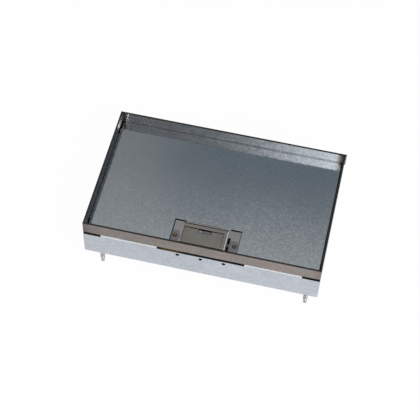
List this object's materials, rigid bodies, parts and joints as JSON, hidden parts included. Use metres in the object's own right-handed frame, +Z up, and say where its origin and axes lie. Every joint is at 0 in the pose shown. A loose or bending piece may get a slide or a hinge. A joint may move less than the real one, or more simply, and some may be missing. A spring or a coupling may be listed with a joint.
{
  "type": "floor socket box",
  "caption": "Recessed floor socket box: lid tray for floor covering, raised cable outlet with hinged flap, sockets inside and levelling screws.",
  "frame": {"origin": "centre of the levelling screws' pattern, at the level of their lower ends", "axes": "+X along the long side to the right seen from the cable outlet, +Y from the cable outlet's side to the back, +Z up"},
  "size_m": [0.4016, 0.246, 0.1485],
  "materials": {
    "galvanised": "zinc-coated sheet steel with a fine spangle",
    "stainless": "brushed stainless steel",
    "bright_zinc": "bright zinc-plated steel",
    "brass": "plain brass",
    "white_plastic": "smooth white plastic",
    "dark_plastic": "dark moulded plastic",
    "grey_plastic": "grey moulded plastic",
    "black_rubber": "closed-cell rubber"
  },
  "bodies": {
    "box": {"base_tub": "galvanised", "tub_wall_front": "galvanised", "tub_wall_back": "galvanised", "rim_bar_front": "stainless", "rim_bar_back": "stainless", "rim_bar_left": "stainless", "rim_bar_right": "stainless", "seat_bars_front": "galvanised", "seat_bars_back": "galvanised", "seat_bar_left": "galvanised", "seat_bar_right": "galvanised", "lid_seal": "black_rubber", "levelling_weld_nuts": "bright_zinc", "levelling_lock_nuts": "bright_zinc", "socket_bracket": "galvanised", "power_socket_1": "white_plastic", "power_socket_2": "white_plastic", "power_socket_3": "white_plastic", "power_socket_4": "white_plastic", "earth_clips": "bright_zinc", "contact_sleeves": "brass", "data_module": "white_plastic", "blank_module": "white_plastic", "data_jacks": "dark_plastic", "partition_plate": "galvanised", "foot_screws": "bright_zinc", "terminal_block": "grey_plastic", "terminal_screws": "brass", "earth_stud": "brass", "earth_nuts": "bright_zinc"},
    "lid": {"lid_tray": "galvanised", "lid_stiffener_front": "galvanised", "lid_stiffener_back": "galvanised", "outlet_carrier": "stainless", "cutout_seal": "black_rubber", "outlet_clamp_left": "stainless", "outlet_clamp_right": "stainless", "outlet_screws": "brass", "clamp_nuts": "bright_zinc"},
    "outlet": {"outlet_box": "stainless", "hinge_pin": "stainless", "flap_buffers": "black_rubber"},
    "flap": {"outlet_flap": "stainless", "flap_foam": "black_rubber"},
    "levelling_fl": {"levelling_screw_fl": "bright_zinc"},
    "levelling_fr": {"levelling_screw_fr": "bright_zinc"},
    "levelling_bl": {"levelling_screw_bl": "bright_zinc"},
    "levelling_br": {"levelling_screw_br": "bright_zinc"}
  },
  "joints": [
    {"name": "lid_lift", "type": "slide", "parent": "box", "child": "lid", "axis": [0, 0, 1], "range_m": [0, 0.12]},
    {"name": "outlet_height", "type": "slide", "parent": "lid", "child": "outlet", "axis": [0, 0, 1], "range_m": [-0.015, 0]},
    {"name": "flap_hinge", "type": "hinge", "parent": "outlet", "child": "flap", "pos_m": [0, -0.1157, 0.1458], "axis": [1, 0, 0], "range_deg": [0, 100]},
    {"name": "levelling_fl_slide", "type": "slide", "parent": "box", "child": "levelling_fl", "axis": [0, 0, 1], "range_m": [-0.015, 0.02]},
    {"name": "levelling_fr_slide", "type": "slide", "parent": "box", "child": "levelling_fr", "axis": [0, 0, 1], "range_m": [-0.015, 0.02]},
    {"name": "levelling_bl_slide", "type": "slide", "parent": "box", "child": "levelling_bl", "axis": [0, 0, 1], "range_m": [-0.015, 0.02]},
    {"name": "levelling_br_slide", "type": "slide", "parent": "box", "child": "levelling_br", "axis": [0, 0, 1], "range_m": [-0.015, 0.02]}
  ]
}
